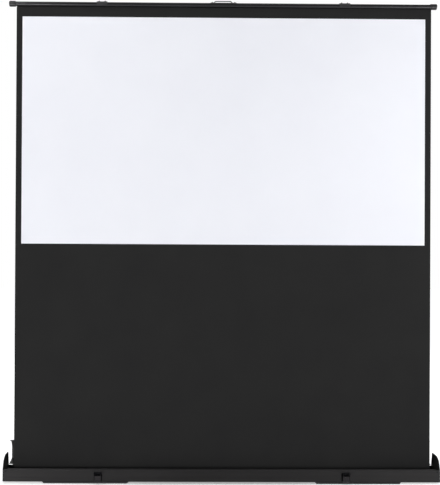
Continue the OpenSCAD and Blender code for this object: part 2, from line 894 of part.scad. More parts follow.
// Folded lever: two side cheeks, a front web and a curled finger tip
module latch_lever() {
  web_d = latch_a[0] - ear_r - lever_t - 0.5;
  web_top = latch_a[1] - 3;
  low = case_z + 10;
  both_sides() along_x(lever_w / 2 - lever_t, lever_w / 2) difference() {
    union() {
      translate(latch_a) circle(3.4);
      polygon([[web_d, low], [web_d, web_top], latch_a, [-2.4, latch_a[1] - 1], [-2.4, low]]);
    }
    translate(latch_a) circle(latch_pin_r + fit);
    translate(latch_b) circle(loop_r + fit);
  }
  along_x(-lever_w / 2, lever_w / 2) {
    translate([web_d, low]) square([lever_t, web_top - low]);
    translate([web_d + lever_t, low]) rotate(150) square([lever_t, 7]);
  }
}

module latch_lever_left() {
  color(case_grey) translate([-latch_x, 0, 0]) latch_lever();
}

module latch_lever_right() {
  color(case_grey) translate([latch_x, 0, 0]) latch_lever();
}

module latch_loop(x) {
  color(black_paint) at(x, latch_b[0], latch_b[1]) rotate([loop_lean, 0, 0])
    wire_bail(2 * latch_wire_x, loop_l, loop_r, 4, loop_r + lever_t + 0.6);
}

module latch_loop_left() {
  latch_loop(-latch_x);
}

module latch_loop_right() {
  latch_loop(latch_x);
}

module lid_shell() {
  inner = beside(lid_points, lid_wall);
  inner_radii = [for (r = lid_radii) max(r - lid_wall, 0)];
  ring_r = bead_r + bead_gap;
  color(case_grey) {
    along_x(-lid_half, lid_half) open_cover() union() {
      polygon(concat(rounded(lid_points, lid_radii), flip(rounded(inner, inner_radii))));
      translate(lid_points[0] + [1.2, 0]) circle(1.2);
      for (d = [58, 80]) translate([d, cover_z - lid_wall - 2.4]) square([1.6, 2.6]);
    }
    along_x(-trough_half, trough_half) open_cover() translate([hinge_d, hinge_z]) difference() {
      circle(ring_r + lid_wall);
      circle(ring_r);
      polygon(concat([[0, 0]], arc(20, 245, 385)));
    }
  }
}

// Keeper hooks on the cover's front slope, drawn along the slope from its lower end
module latch_keepers() {
  slope = lid_points[1] - lid_points[0];
  turn = atan2(slope[1], slope[0]);
  color(steel) for (s = [-1, 1]) along_x(s * latch_x - 12, s * latch_x + 12) open_cover()
    translate(lid_points[0]) rotate(turn) {
      translate([3, 0]) square([16, 1.5]);
      translate([5, 0]) square([1.6, 6.4]);
      translate([5, 5]) square([5, 1.4]);
    }
}

module grip_pivot(x0, x1, r) {
  along_x(x0, x1) open_cover() translate([grip_d, cover_z + grip_h]) circle(r);
}

module carry_handle_brackets() {
  color(black_paint) both_sides() {
    along_x(grip_l / 2 + 4.5, grip_l / 2 + 16) open_cover() difference() {
      polygon(rounded_loop([[grip_d - 14, cover_z], [grip_d - 5.5, cover_z + grip_h + 5],
        [grip_d + 5.5, cover_z + grip_h + 5], [grip_d + 14, cover_z]], [0, 4, 4, 0]));
      translate([grip_d, cover_z + grip_h]) circle(2.5 + fit);
    }
  }
}

module carry_handle() {
  color(black_paint) {
    both_sides() {
      grip_pivot(grip_l / 2 - 4, grip_l / 2 + 13, 2.5);
      along_x(grip_l / 2 - 4, grip_l / 2 + 4) open_cover() translate([grip_d, cover_z + grip_h]) {
        circle(5.5);
        translate([0, -4]) square([grip_arm, 8]);
        translate([grip_arm, 0]) circle(grip_r);
      }
    }
    along_x(-grip_l / 2 + 3.9, grip_l / 2 - 3.9) open_cover()
      translate([grip_d + grip_arm, cover_z + grip_h]) circle(grip_r - 0.5);
  }
}

// Swivel foot with bevelled ends, a recess for its bolt head and pockets for its pads
module foot(x) {
  half = foot_l / 2;
  round_r = 10;
  difference() {
    intersection() {
      along_y(foot_d - foot_w / 2, foot_d + foot_w / 2) translate([x, pad_out])
        polygon([[-half + foot_bevel, 0], [half - foot_bevel, 0], [half, foot_t], [-half, foot_t]]);
      at(x, foot_d, 0) linear_extrude(foot_t + pad_out + 1)
        polygon(rounded_loop([[-half, -foot_w / 2], [-half, foot_w / 2], [half, foot_w / 2],
          [half, -foot_w / 2]], [round_r, round_r, round_r, round_r]));
    }
    at(x, foot_d, -1) cylinder(r = bolt_r + fit, h = foot_t + 4);
    at(x, foot_d, pad_out - 1) cylinder(r = bolt_head_r + 0.3, h = bolt_head_h + 1.3);
    for (s = [-1, 1]) at(x + s * (half - 50), foot_d, 0) pad_shape(0.05, pad_out + 1);
  }
}

module pad_shape(grow, h) {
  a = 25 + grow;
  b = foot_w / 2 - 5 + grow;
  linear_extrude(h) polygon(rounded_loop([[-a, -b], [-a, b], [a, b], [a, -b]], [6, 6, 6, 6]));
}

module foot_pads(x) {
  color("#0f0f10") for (s = [-1, 1]) at(x + s * (foot_l / 2 - 50), foot_d, 0) pad_shape(0, pad_out + 1);
}

module foot_left() {
  color(black_paint) foot(-foot_x);
}

module foot_right() {
  color(black_paint) foot(foot_x);
}

module foot_pads_left() {
  foot_pads(-foot_x);
}

module foot_pads_right() {
  foot_pads(foot_x);
}

module foot_bolts() {
  color(steel) for (s = [-1, 1]) at(s * foot_x, foot_d, 0) {
    translate([0, 0, pad_out + 0.2]) cylinder(r = bolt_head_r, h = bolt_head_h - 0.2);
    translate([0, 0, pad_out + bolt_head_h - 0.1])
      cylinder(r = bolt_r, h = floor_z + 3 - pad_out - bolt_head_h);
    translate([0, 0, floor_z]) cylinder(r = 7.5, h = 3, $fn = 6);
  }
}

module foot_washers() {
  color(nylon) for (s = [-1, 1]) at(s * foot_x, foot_d, case_z - washer_t) difference() {
    cylinder(r = 16, h = washer_t);
    translate([0, 0, -1]) cylinder(r = bolt_r + fit, h = washer_t + 2);
  }
}

case_trough();
end_cap_left();
end_cap_right();
end_cap_screws();
bottom_rail();
case_rivets();
roller_bracket_left();
roller_bracket_right();
spring_shaft();
torsion_spring();
latch_plates();
latch_pins();
foot_bolts();
foot_washers();
screen_fabric();
viewing_surface();
bottom_pivot_pin();
bottom_pivot_spacers();
lid_shell();
latch_keepers();
carry_handle_brackets();
carry_handle();
foot_left();
foot_right();
foot_pads_left();
foot_pads_right();
latch_lever_left();
latch_lever_right();
latch_loop_left();
latch_loop_right();
roller_tube();
roller_plug_left();
roller_plug_right();
spring_anchor();
fabric_roll();
lower_arm_front();
lower_arm_rear();
upper_arm_front();
upper_arm_rear();
lower_cross_pin();
upper_cross_pin();
left_elbow_pin();
right_elbow_pin();
lower_arm_washers();
left_elbow_washer();
upper_cross_washer();
bottom_slide_axle();
bottom_slide_rollers();
top_slide_axle();
top_slide_rollers();
top_tube();
bar_knobs();
keder_rod();
top_rail();
saddle_clamps();
bar_screws();
handle_bracket();
top_pivot_pin();
top_pivot_spacers();
pull_handle();
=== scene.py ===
import json
import math

import bpy
import bmesh
from mathutils import Euler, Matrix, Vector


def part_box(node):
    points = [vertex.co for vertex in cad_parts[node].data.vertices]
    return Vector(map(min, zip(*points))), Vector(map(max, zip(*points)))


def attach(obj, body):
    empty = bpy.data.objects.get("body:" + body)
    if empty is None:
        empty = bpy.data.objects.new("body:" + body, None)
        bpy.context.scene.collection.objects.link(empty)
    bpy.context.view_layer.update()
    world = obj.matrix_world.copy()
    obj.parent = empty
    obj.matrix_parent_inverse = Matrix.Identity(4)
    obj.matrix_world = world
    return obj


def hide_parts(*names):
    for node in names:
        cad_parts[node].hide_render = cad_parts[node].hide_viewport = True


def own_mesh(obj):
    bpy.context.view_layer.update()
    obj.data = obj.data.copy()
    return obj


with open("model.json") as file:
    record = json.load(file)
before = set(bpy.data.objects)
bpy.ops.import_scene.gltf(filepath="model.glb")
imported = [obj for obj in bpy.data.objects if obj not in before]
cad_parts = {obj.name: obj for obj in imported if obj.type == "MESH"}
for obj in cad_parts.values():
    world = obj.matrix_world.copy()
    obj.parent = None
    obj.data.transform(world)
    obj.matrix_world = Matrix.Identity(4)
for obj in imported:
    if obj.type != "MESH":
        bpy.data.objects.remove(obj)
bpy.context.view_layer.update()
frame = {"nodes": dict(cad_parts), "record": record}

# Camera, as the photograph was taken: frontal, a little left of the middle, about a metre up
IMAGE_H = 485
FOCAL_PX = 740.45
CAMERA_AT = (-0.2009, -3.2783, 1.0357)
CAMERA_PITCH = 0.3
CAMERA_YAW = -0.5
CAMERA_ROLL = 0.296
CENTRE_PX = (36.9, -2.3)


def place_camera():
    data = bpy.data.cameras.new("camera")
    # The sensor spans the picture's longer side, its height
    data.sensor_fit = "AUTO"
    data.sensor_width = 36
    data.lens = FOCAL_PX * data.sensor_width / IMAGE_H
    data.shift_x = CENTRE_PX[0] / IMAGE_H
    data.shift_y = CENTRE_PX[1] / IMAGE_H
    camera = bpy.data.objects.new("camera", data)
    camera.location = CAMERA_AT
    turn = Euler((math.radians(90 + CAMERA_PITCH), 0, math.radians(CAMERA_YAW))).to_matrix()
    roll = Euler((0, 0, math.radians(CAMERA_ROLL))).to_matrix()
    camera.rotation_euler = (turn @ roll).to_euler()
    bpy.context.scene.collection.objects.link(camera)
    bpy.context.scene.camera = camera


place_camera()


# Colours and nodes
def colour(hex_value):
    """An sRGB hex value as the linear colour that a shader takes."""
    parts = [int(hex_value[i : i + 2], 16) / 255 for i in (1, 3, 5)]
    linear = [c / 12.92 if c <= 0.04045 else ((c + 0.055) / 1.055) ** 2.4 for c in parts]
    return (*linear, 1)


def add(finish, kind, inputs=None, **settings):
    """Adds a node to a finish or world. An input is a plain value, or a node and which of its outputs."""
    node = finish.node_tree.nodes.new(kind)
    for name, value in settings.items():
        setattr(node, name, value)
    for name, value in (inputs or {}).items():
        if isinstance(value, tuple) and isinstance(value[0], bpy.types.Node):
            finish.node_tree.links.new(value[0].outputs[value[1]], node.inputs[name])
        else:
            node.inputs[name].default_value = value
    return node


# The mix node's colour sockets share their names with others, so they go by number
MIX_SHARE, MIX_A, MIX_B = 0, 6, 7
MIXED = 2
BEVEL_SAMPLES = 4


def bare_finish(name):
    finish = bpy.data.materials.new(name)
    finish.use_nodes = True
    finish.node_tree.nodes.clear()
    return finish


def every_mm(x, y, z):
    """The scale that repeats a pattern after so many millimetres along each axis."""
    return (1000 / x, 1000 / y, 1000 / z)


# Finishes
def anodised_extrusion(name, dark, light, edge_highlight, rough, metallic, edge_mm):
    # Extruded aluminium, satin anodised: fine die lines along its length that stretch the highlights,
    # and broad faint clouds from the dye bath. Corners are painted a little paler, a painted highlight
    # along the edges. Real lines are 0.2 mm apart, drawn 1.4 mm apart.
    finish = bare_finish(name)
    where = add(finish, "ShaderNodeTexCoord")
    lines_at = add(
        finish, "ShaderNodeMapping", {"Vector": (where, "Object"), "Scale": every_mm(800, 1.4, 1.4)}
    )
    lines = add(finish, "ShaderNodeTexNoise", {"Vector": (lines_at, 0), "Scale": 1, "Detail": 3})
    clouds_at = add(
        finish, "ShaderNodeMapping", {"Vector": (where, "Object"), "Scale": every_mm(250, 50, 50)}
    )
    clouds = add(finish, "ShaderNodeTexNoise", {"Vector": (clouds_at, 0), "Scale": 1, "Detail": 2})
    tone = add(
        finish,
        "ShaderNodeMix",
        {MIX_SHARE: (clouds, "Fac"), MIX_A: colour(dark), MIX_B: colour(light)},
        data_type="RGBA",
    )
    gloss = add(
        finish,
        "ShaderNodeMapRange",
        {"Value": (lines, "Fac"), "To Min": rough - 0.08, "To Max": rough + 0.08},
    )
    drawn = add(
        finish, "ShaderNodeMapRange", {"Value": (lines, "Fac"), "To Min": 0.75, "To Max": 1.25}
    )
    lined = add(
        finish, "ShaderNodeVectorMath", {0: (tone, MIXED), "Scale": (drawn, 0)}, operation="SCALE"
    )
    # A corner is where the rounded normal leaves the face's own: a painted highlight goes there
    edge = add(finish, "ShaderNodeBevel", {"Radius": edge_mm / 1000}, samples=BEVEL_SAMPLES)
    face = add(finish, "ShaderNodeNewGeometry")
    turn = add(
        finish, "ShaderNodeVectorMath", {0: (edge, 0), 1: (face, "Normal")}, operation="DOT_PRODUCT"
    )
    highlight_share = add(
        finish,
        "ShaderNodeMapRange",
        {"Value": (turn, "Value"), "From Min": 0.99, "From Max": 0.8, "To Max": 0.6},
    )
    edge_lit = add(
        finish,
        "ShaderNodeMix",
        {MIX_SHARE: (highlight_share, 0), MIX_A: (lined, 0), MIX_B: colour(edge_highlight)},
        data_type="RGBA",
    )
    relief = add(
        finish,
        "ShaderNodeBump",
        {"Strength": 0.12, "Distance": 0.0002, "Height": (lines, "Fac"), "Normal": (edge, 0)},
    )
    surface = add(
        finish,
        "ShaderNodeBsdfPrincipled",
        {
            "Base Color": (edge_lit, MIXED),
            "Metallic": metallic,
            "Roughness": (gloss, 0),
            "Normal": (relief, 0),
        },
    )
    add(finish, "ShaderNodeOutputMaterial", {"Surface": (surface, 0)})
    return finish


def powder_coat(name, dark, light, rough):
    # Polyester powder baked on steel: an orange peel of about 2.5 mm that breaks up the gloss.
    finish = bare_finish(name)
    where = add(finish, "ShaderNodeTexCoord")
    peel_at = add(
        finish, "ShaderNodeMapping", {"Vector": (where, "Object"), "Scale": every_mm(2.5, 2.5, 2.5)}
    )
    peel = add(finish, "ShaderNodeTexNoise", {"Vector": (peel_at, 0), "Scale": 1, "Detail": 4})
    tone = add(
        finish,
        "ShaderNodeMix",
        {MIX_SHARE: (peel, "Fac"), MIX_A: colour(dark), MIX_B: colour(light)},
        data_type="RGBA",
    )
    gloss = add(
        finish,
        "ShaderNodeMapRange",
        {"Value": (peel, "Fac"), "To Min": rough - 0.06, "To Max": rough + 0.08},
    )
    edge = add(finish, "ShaderNodeBevel", {"Radius": 0.0004}, samples=BEVEL_SAMPLES)
    relief = add(
        finish,
        "ShaderNodeBump",
        {"Strength": 0.25, "Distance": 0.0002, "Height": (peel, "Fac"), "Normal": (edge, 0)},
    )
    surface = add(
        finish,
        "ShaderNodeBsdfPrincipled",
        {"Base Color": (tone, MIXED), "Roughness": (gloss, 0), "IOR": 1.5, "Normal": (relief, 0)},
    )
    add(finish, "ShaderNodeOutputMaterial", {"Surface": (surface, 0)})
    return finish


def moulded_abs(name, dark, light, rough):
    # ABS moulded in an eroded tool: an even fine grain, about 0.3 mm, drawn at 0.9 mm so that it
    # shows, over slow clouds from the melt's flow.
    finish = bare_finish(name)
    where = add(finish, "ShaderNodeTexCoord")
    grain_at = add(
        finish, "ShaderNodeMapping", {"Vector": (where, "Object"), "Scale": every_mm(0.9, 0.9, 0.9)}
    )
    grain = add(finish, "ShaderNodeTexVoronoi", {"Vector": (grain_at, 0), "Scale": 1})
    flow_at = add(
        finish, "ShaderNodeMapping", {"Vector": (where, "Object"), "Scale": every_mm(35, 35, 35)}
    )
    flow = add(finish, "ShaderNodeTexNoise", {"Vector": (flow_at, 0), "Scale": 1, "Detail": 2})
    tone = add(
        finish,
        "ShaderNodeMix",
        {MIX_SHARE: (flow, "Fac"), MIX_A: colour(dark), MIX_B: colour(light)},
        data_type="RGBA",
    )
    gloss = add(
        finish,
        "ShaderNodeMapRange",
        {"Value": (flow, "Fac"), "To Min": rough - 0.05, "To Max": rough + 0.05},
    )
    edge = add(finish, "ShaderNodeBevel", {"Radius": 0.0006}, samples=BEVEL_SAMPLES)
    relief = add(
        finish,
        "ShaderNodeBump",
        {"Strength": 0.3, "Distance": 0.00015, "Height": (grain, "Distance"), "Normal": (edge, 0)},
    )
    surface = add(
        finish,
        "ShaderNodeBsdfPrincipled",
        {
            "Base Color": (tone, MIXED),
            "Roughness": (gloss, 0),
            "IOR": 1.53,
            "Specular IOR Level": 0.3,
            "Normal": (relief, 0),
        },
    )
    add(finish, "ShaderNodeOutputMaterial", {"Surface": (surface, 0)})
    return finish


def plated_steel(name, dark, light, rough):
    # Turned, drawn or pressed steel, zinc plated or blackened in a bath: cloudy where the bath
    # dried, with tool marks too fine to draw that only spread the highlights.
    finish = bare_finish(name)
    where = add(finish, "ShaderNodeTexCoord")
    clouds_at = add(
        finish, "ShaderNodeMapping", {"Vector": (where, "Object"), "Scale": every_mm(6, 6, 6)}
    )
    clouds = add(finish, "ShaderNodeTexNoise", {"Vector": (clouds_at, 0), "Scale": 1, "Detail": 3})
    tone = add(
        finish,
        "ShaderNodeMix",
        {MIX_SHARE: (clouds, "Fac"), MIX_A: colour(dark), MIX_B: colour(light)},
        data_type="RGBA",
    )
    gloss = add(
        finish,
        "ShaderNodeMapRange",
        {"Value": (clouds, "Fac"), "To Min": rough - 0.1, "To Max": rough + 0.12},
    )
    edge = add(finish, "ShaderNodeBevel", {"Radius": 0.0002}, samples=BEVEL_SAMPLES)
    surface = add(
        finish,
        "ShaderNodeBsdfPrincipled",
        {"Base Color": (tone, MIXED), "Metallic": 1, "Roughness": (gloss, 0), "Normal": (edge, 0)},
    )
    add(finish, "ShaderNodeOutputMaterial", {"Surface": (surface, 0)})
    return finish


def mill_aluminium(name):
    # Bare extruded aluminium: pale grey, streaked along its length, 0.5 mm real, drawn at 2 mm.
    finish = bare_finish(name)
    where = add(finish, "ShaderNodeTexCoord")
    streaks_at = add(
        finish, "ShaderNodeMapping", {"Vector": (where, "Object"), "Scale": every_mm(650, 2, 2)}
    )
    streaks = add(finish, "ShaderNodeTexNoise", {"Vector": (streaks_at, 0), "Scale": 1, "Detail": 4})
    tone = add(
        finish,
        "ShaderNodeMix",
        {MIX_SHARE: (streaks, "Fac"), MIX_A: colour("#7f8184"), MIX_B: colour("#b4b6b9")},
        data_type="RGBA",
    )
    gloss = add(
        finish, "ShaderNodeMapRange", {"Value": (streaks, "Fac"), "To Min": 0.3, "To Max": 0.56}
    )
    relief = add(
        finish, "ShaderNodeBump", {"Strength": 0.2, "Distance": 0.0002, "Height": (streaks, "Fac")}
    )
    surface = add(
        finish,
        "ShaderNodeBsdfPrincipled",
        {"Base Color": (tone, MIXED), "Metallic": 1, "Roughness": (gloss, 0), "Normal": (relief, 0)},
    )
    add(finish, "ShaderNodeOutputMaterial", {"Surface": (surface, 0)})
    return finish


def natural_nylon(name):
    # Unfilled moulded nylon: milky, with a soft glow under its skin.
    finish = bare_finish(name)
    where = add(finish, "ShaderNodeTexCoord")
    haze_at = add(
        finish, "ShaderNodeMapping", {"Vector": (where, "Object"), "Scale": every_mm(5, 5, 5)}
    )
    haze = add(finish, "ShaderNodeTexNoise", {"Vector": (haze_at, 0), "Scale": 1, "Detail": 2})
    tone = add(
        finish,
        "ShaderNodeMix",
        {MIX_SHARE: (haze, "Fac"), MIX_A: colour("#c6c3b6"), MIX_B: colour("#e0ddd3")},
        data_type="RGBA",
    )
    gloss = add(
        finish, "ShaderNodeMapRange", {"Value": (haze, "Fac"), "To Min": 0.34, "To Max": 0.5}
    )
    surface = add(
        finish,
        "ShaderNodeBsdfPrincipled",
        {
            "Base Color": (tone, MIXED),
            "Roughness": (gloss, 0),
            "IOR": 1.53,
            "Subsurface Weight": 0.15,
            "Subsurface Radius": (0.002, 0.0017, 0.0013),
        },
    )
    add(finish, "ShaderNodeOutputMaterial", {"Surface": (surface, 0)})
    return finish


def moulded_rubber(name):
    # Moulded rubber: matt black with a dusty bloom of 4 mm patches.
    finish = bare_finish(name)
    where = add(finish, "ShaderNodeTexCoord")
    dust_at = add(
        finish, "ShaderNodeMapping", {"Vector": (where, "Object"), "Scale": every_mm(4, 4, 4)}
    )
    dust = add(finish, "ShaderNodeTexNoise", {"Vector": (dust_at, 0), "Scale": 1, "Detail": 5})
    tone = add(
        finish,
        "ShaderNodeMix",
        {MIX_SHARE: (dust, "Fac"), MIX_A: colour("#0f0f0f"), MIX_B: colour("#202020")},
        data_type="RGBA",
    )
    gloss = add(
        finish, "ShaderNodeMapRange", {"Value": (dust, "Fac"), "To Min": 0.75, "To Max": 0.95}
    )
    relief = add(
        finish, "ShaderNodeBump", {"Strength": 0.3, "Distance": 0.0003, "Height": (dust, "Fac")}
    )
    surface = add(
        finish,
        "ShaderNodeBsdfPrincipled",
        {"Base Color": (tone, MIXED), "Roughness": (gloss, 0), "IOR": 1.52, "Normal": (relief, 0)},
    )
    add(finish, "ShaderNodeOutputMaterial", {"Surface": (surface, 0)})
    return finish


def coated_black_cloth(name):
    # Glass-fibre cloth coated matt black: a flat tone with the plain weave just showing and a faint
    # sheen of lint. Threads are 0.4 mm apart, drawn 1.2 mm apart.
    finish = bare_finish(name)
    where = add(finish, "ShaderNodeTexCoord")
    half_turns = [math.pi * share for share in every_mm(1.2, 1.2, 1.2)]
    threads_at = add(
        finish, "ShaderNodeMapping", {"Vector": (where, "Object"), "Scale": half_turns}
    )
    threads = add(finish, "ShaderNodeSeparateXYZ", {0: (threads_at, 0)})
    warp = add(finish, "ShaderNodeMath", {0: (threads, "X")}, operation="SINE")
    weft = add(finish, "ShaderNodeMath", {0: (threads, "Z")}, operation="SINE")
    weave = add(finish, "ShaderNodeMath", {0: (warp, 0), 1: (weft, 0)}, operation="MULTIPLY")
    clouds_at = add(
        finish, "ShaderNodeMapping", {"Vector": (where, "Object"), "Scale": every_mm(160, 160, 160)}
    )
    clouds = add(finish, "ShaderNodeTexNoise", {"Vector": (clouds_at, 0), "Scale": 1, "Detail": 3})
    tone = add(
        finish,
        "ShaderNodeMix",
        {MIX_SHARE: (clouds, "Fac"), MIX_A: colour("#1e1e1e"), MIX_B: colour("#252524")},
        data_type="RGBA",
    )
    gloss = add(
        finish,
        "ShaderNodeMapRange",
        {"Value": (weave, 0), "From Min": -1, "To Min": 0.74, "To Max": 0.88},
    )
    relief = add(
        finish, "ShaderNodeBump", {"Strength": 0.2, "Distance": 0.0001, "Height": (weave, 0)}
    )
    surface = add(
        finish,
        "ShaderNodeBsdfPrincipled",
        {
            "Base Color": (tone, MIXED),
            "Roughness": (gloss, 0),
            "IOR": 1.45,
            "Specular IOR Level": 0.12,
            "Sheen Weight": 0.03,
            "Sheen Roughness": 0.5,
            "Normal": (relief, 0),
        },
    )
    add(finish, "ShaderNodeOutputMaterial", {"Surface": (surface, 0)})
    return finish


def matt_white_coating(name):
    # Matt white projection coating: cool white and diffuse, with an embossed grain of 0.3 mm, drawn
    # at 1 mm.
    finish = bare_finish(name)
    where = add(finish, "ShaderNodeTexCoord")
    grain_at = add(
        finish, "ShaderNodeMapping", {"Vector": (where, "Object"), "Scale": every_mm(1, 1, 1)}
    )
    grain = add(finish, "ShaderNodeTexNoise", {"Vector": (grain_at, 0), "Scale": 1, "Detail": 2})
    clouds_at = add(
        finish, "ShaderNodeMapping", {"Vector": (where, "Object"), "Scale": every_mm(250, 250, 250)}
    )
    clouds = add(finish, "ShaderNodeTexNoise", {"Vector": (clouds_at, 0), "Scale": 1, "Detail": 2})
    tone = add(
        finish,
        "ShaderNodeMix",
        {MIX_SHARE: (clouds, "Fac"), MIX_A: colour("#ebecf1"), MIX_B: colour("#f0f1f5")},
        data_type="RGBA",
    )
    gloss = add(
        finish, "ShaderNodeMapRange", {"Value": (grain, "Fac"), "To Min": 0.7, "To Max": 0.85}
    )
    relief = add(
        finish, "ShaderNodeBump", {"Strength": 0.08, "Distance": 0.0001, "Height": (grain, "Fac")}
    )
    surface = add(
        finish,
        "ShaderNodeBsdfPrincipled",
        {
            "Base Color": (tone, MIXED),
            "Roughness": (gloss, 0),
            "IOR": 1.45,
            "Specular IOR Level": 0.2,
            "Normal": (relief, 0),
        },
    )
    add(finish, "ShaderNodeOutputMaterial", {"Surface": (surface, 0)})
    return finish


# The third colour of each is the painted highlight on its corners
CASE = anodised_extrusion(
    "dark_grey_anodised_aluminium", "#212020", "#2b2a2a", "#4a4a4c", 0.36, 0.8, 0.5
)
BAR = anodised_extrusion(
    "black_anodised_aluminium", "#222223", "#2f2f30", "#434345", 0.26, 0.8, 0.3
)
CAPS = moulded_abs("black_moulded_abs", "#080809", "#0e0e0f", 0.6)
KNOBS = moulded_abs("black_moulded_knob", "#0d0d0e", "#171718", 0.36)
STEEL = powder_coat("black_powder_coat", "#0c0c0d", "#151516", 0.5)
LATCHES = plated_steel("blackened_sheet_steel", "#282728", "#343233", 0.45)
WIRE = plated_steel("blackened_wire", "#0d0d0e", "#18181a", 0.5)
ZINC = plated_steel("zinc_plated_steel", "#8e9195", "#c0c3c6", 0.32)
BLACKENED = plated_steel("blackened_steel", "#101011", "#1b1b1d", 0.42)
BARE = mill_aluminium("mill_finish_aluminium")
NYLON = natural_nylon("natural_nylon")
RUBBER = moulded_rubber("moulded_rubber")
CLOTH = coated_black_cloth("black_coated_cloth")
WHITE = matt_white_coating("matt_white_coating")

BY_SLOT = {
    "case_grey": CASE,
    "bar_black": BAR,
    "black_plastic": CAPS,
    "black_steel": STEEL,
    "grey_steel": LATCHES,
    "zinc_steel": ZINC,
    "plain_alu": BARE,
    "nylon": NYLON,
    "rubber": RUBBER,
    "fabric_black": CLOTH,
    "fabric_white": WHITE,
}
# Pieces whose finish isn't their slot's
BY_NODE = {
    "bar_knobs": KNOBS,
    "end_cap_screws": BLACKENED,
    "bar_screws": BLACKENED,
    "case_rivets": BLACKENED,
    "latch_loop_left": WIRE,
    "latch_loop_right": WIRE,
    "latch_pins": WIRE,
    # Latch plates: blackened steel, kept darker than the levers, partly as painted shade for the loops'
    # shadow on them
    "latch_plates": BLACKENED,
    # Roller tube: drawn in the black bar finish instead of bare aluminium, as painted shade where its end
    # lies deep in the case
    "roller_tube": BAR,
}

for part in frame["record"]["subparts"]:
    name = part["node"]
    mesh = frame["nodes"][name].data
    mesh.materials.clear()
    mesh.materials.append(BY_NODE.get(name, BY_SLOT[part["material_slot"]]))


# Screen cloth
def from_mesh(name, made, finishes, body):
    mesh = bpy.data.meshes.new(name)
    made.normal_update()
    made.to_mesh(mesh)
    made.free()
    piece = bpy.data.objects.new(name, mesh)
    bpy.context.scene.collection.objects.link(piece)
    for finish in finishes:
        mesh.materials.append(finish)
    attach(piece, body)
    return piece


cloth_low, cloth_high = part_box("screen_fabric")
white_low, white_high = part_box("viewing_surface")
CLOTH_T = cloth_high.y - cloth_low.y
# How much of the upper corners is cut off, and the size of a cell of the mesh
CORNER = 0.004
CELL = 0.03


def stops(low, high, marks):
    """Places from low to high about a cell apart, with each mark among them."""
    ends = sorted({low, high, *marks})
    places = []
    for a, b in zip(ends, ends[1:]):
        steps = max(1, round((b - a) / CELL))
        places += [a + (b - a) * i / steps for i in range(steps)]
    return [*places, high]


def cloth_piece(name, low_z, high_z, finishes, body):
    """The cloth between two heights: black, with the white coating between its borders."""
    xs = stops(
        cloth_low.x,
        cloth_high.x,
        [white_low.x, white_high.x, cloth_low.x + CORNER, cloth_high.x - CORNER],
    )
    marks = [white_low.z, cloth_high.z - CORNER]
    zs = stops(low_z, high_z, [z for z in marks if low_z < z < high_z])
    made = bmesh.new()
    front = {}
    back = {}
    behind = {}
    for j, z in enumerate(zs):
        for i, x in enumerate(xs):
            front[i, j] = made.verts.new((x, cloth_low.y, z))
            back[i, j] = made.verts.new((x, cloth_high.y, z))
            behind[front[i, j]] = back[i, j]
    corner_cells = set()
    if high_z == cloth_high.z:
        corner_cells = {(0, len(zs) - 2), (len(xs) - 2, len(zs) - 2)}
    for j in range(len(zs) - 1):
        for i in range(len(xs) - 1):
            ring = [(i, j), (i + 1, j), (i + 1, j + 1), (i, j + 1)]
            if (i, j) in corner_cells:
                upper_outer = (0, j + 1) if i == 0 else (i + 1, j + 1)
                ring.remove(upper_outer)
            mid = (Vector(front[ring[0]].co) + Vector(front[ring[2]].co)) / 2
            white = white_low.x < mid.x < white_high.x and white_low.z < mid.z < white_high.z
            face = made.faces.new([front[k] for k in ring])
            face.material_index = 1 if white else 0
            made.faces.new([back[k] for k in reversed(ring)])
    for edge in [e for e in made.edges if e.is_boundary]:
        a, b = edge.verts
        if a in behind:
            made.faces.new([a, b, behind[b], behind[a]])
    loose = [v for v in made.verts if not v.link_faces]
    bmesh.ops.delete(made, geom=loose, context="VERTS")
    bmesh.ops.recalc_face_normals(made, faces=made.faces)
    return from_mesh(name, made, finishes, body)


# One cloth on the real screen. Here its upper border is a piece that goes down with the bar, as the
# real one does.
border = cloth_piece(
    "cloth_top_border", white_high.z, cloth_high.z, [CLOTH], "top_bar"
)

cloth = cloth_piece(
    "screen_cloth", cloth_low.z, white_high.z, [CLOTH, WHITE], "case"
)
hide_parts("screen_fabric", "viewing_surface")
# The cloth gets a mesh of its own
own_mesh(cloth)


# Air between the tube and the first wrap, and the wraps' thickness that leaves air between them
WRAP_AIR = 0.00005
WRAP_T = CLOTH_T * 0.98
WRAP_STEPS = 160


def wound_cloth():
    """The last wraps on the roller: one strip that winds in and ends under the sheet."""
    roll_low, roll_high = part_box("fabric_roll")
    tube_low, tube_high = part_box("roller_tube")
    axis = (roll_low + roll_high) / 2
    outer = (roll_high.z - roll_low.z) / 2
    inner = (tube_high.z - tube_low.z) / 2 + WRAP_AIR
    turns = (outer - inner) / CLOTH_T - 1
    made = bmesh.new()
    rows = []
    for i in range(WRAP_STEPS + 1):
        share = i / WRAP_STEPS
        angle = -2 * math.pi * turns * (1 - share)
        r = inner + (outer - CLOTH_T - inner) * share
        row = []
        for x, radius in (
            (roll_low.x, r),
            (roll_high.x, r),
            (roll_high.x, r + WRAP_T),
            (roll_low.x, r + WRAP_T),
        ):
            y = axis.y + radius * math.cos(angle)
            z = axis.z + radius * math.sin(angle)
            row.append(made.verts.new((x, y, z)))
        rows.append(row)
    for a, b in zip(rows, rows[1:]):
        for k in range(4):
            made.faces.new([a[k], a[(k + 1) % 4], b[(k + 1) % 4], b[k]])
    made.faces.new(rows[0][::-1])
    made.faces.new(rows[-1])
    bmesh.ops.recalc_face_normals(made, faces=made.faces)
    for face in made.faces:
        face.smooth = len(face.verts) == 4
    piece = from_mesh("wound_cloth", made, [CLOTH], "roller")
    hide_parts("fabric_roll")
    width = roll_high.x - roll_low.x
    mean_turn = math.pi * (inner + outer)
    return piece, width, turns * mean_turn


wound, wound_w, wound_length = wound_cloth()


# Studio: pale floor and backdrop that the camera sees as white, soft lamps
ROOM_LIGHT = 0.2
FLOOR_REACH = 14
# The floor's own glow grows between these two distances from the object's middle
NEAR, NEAR_GLOW = 0.3, 0.3
FAR, FAR_GLOW = 1.4, 0.84


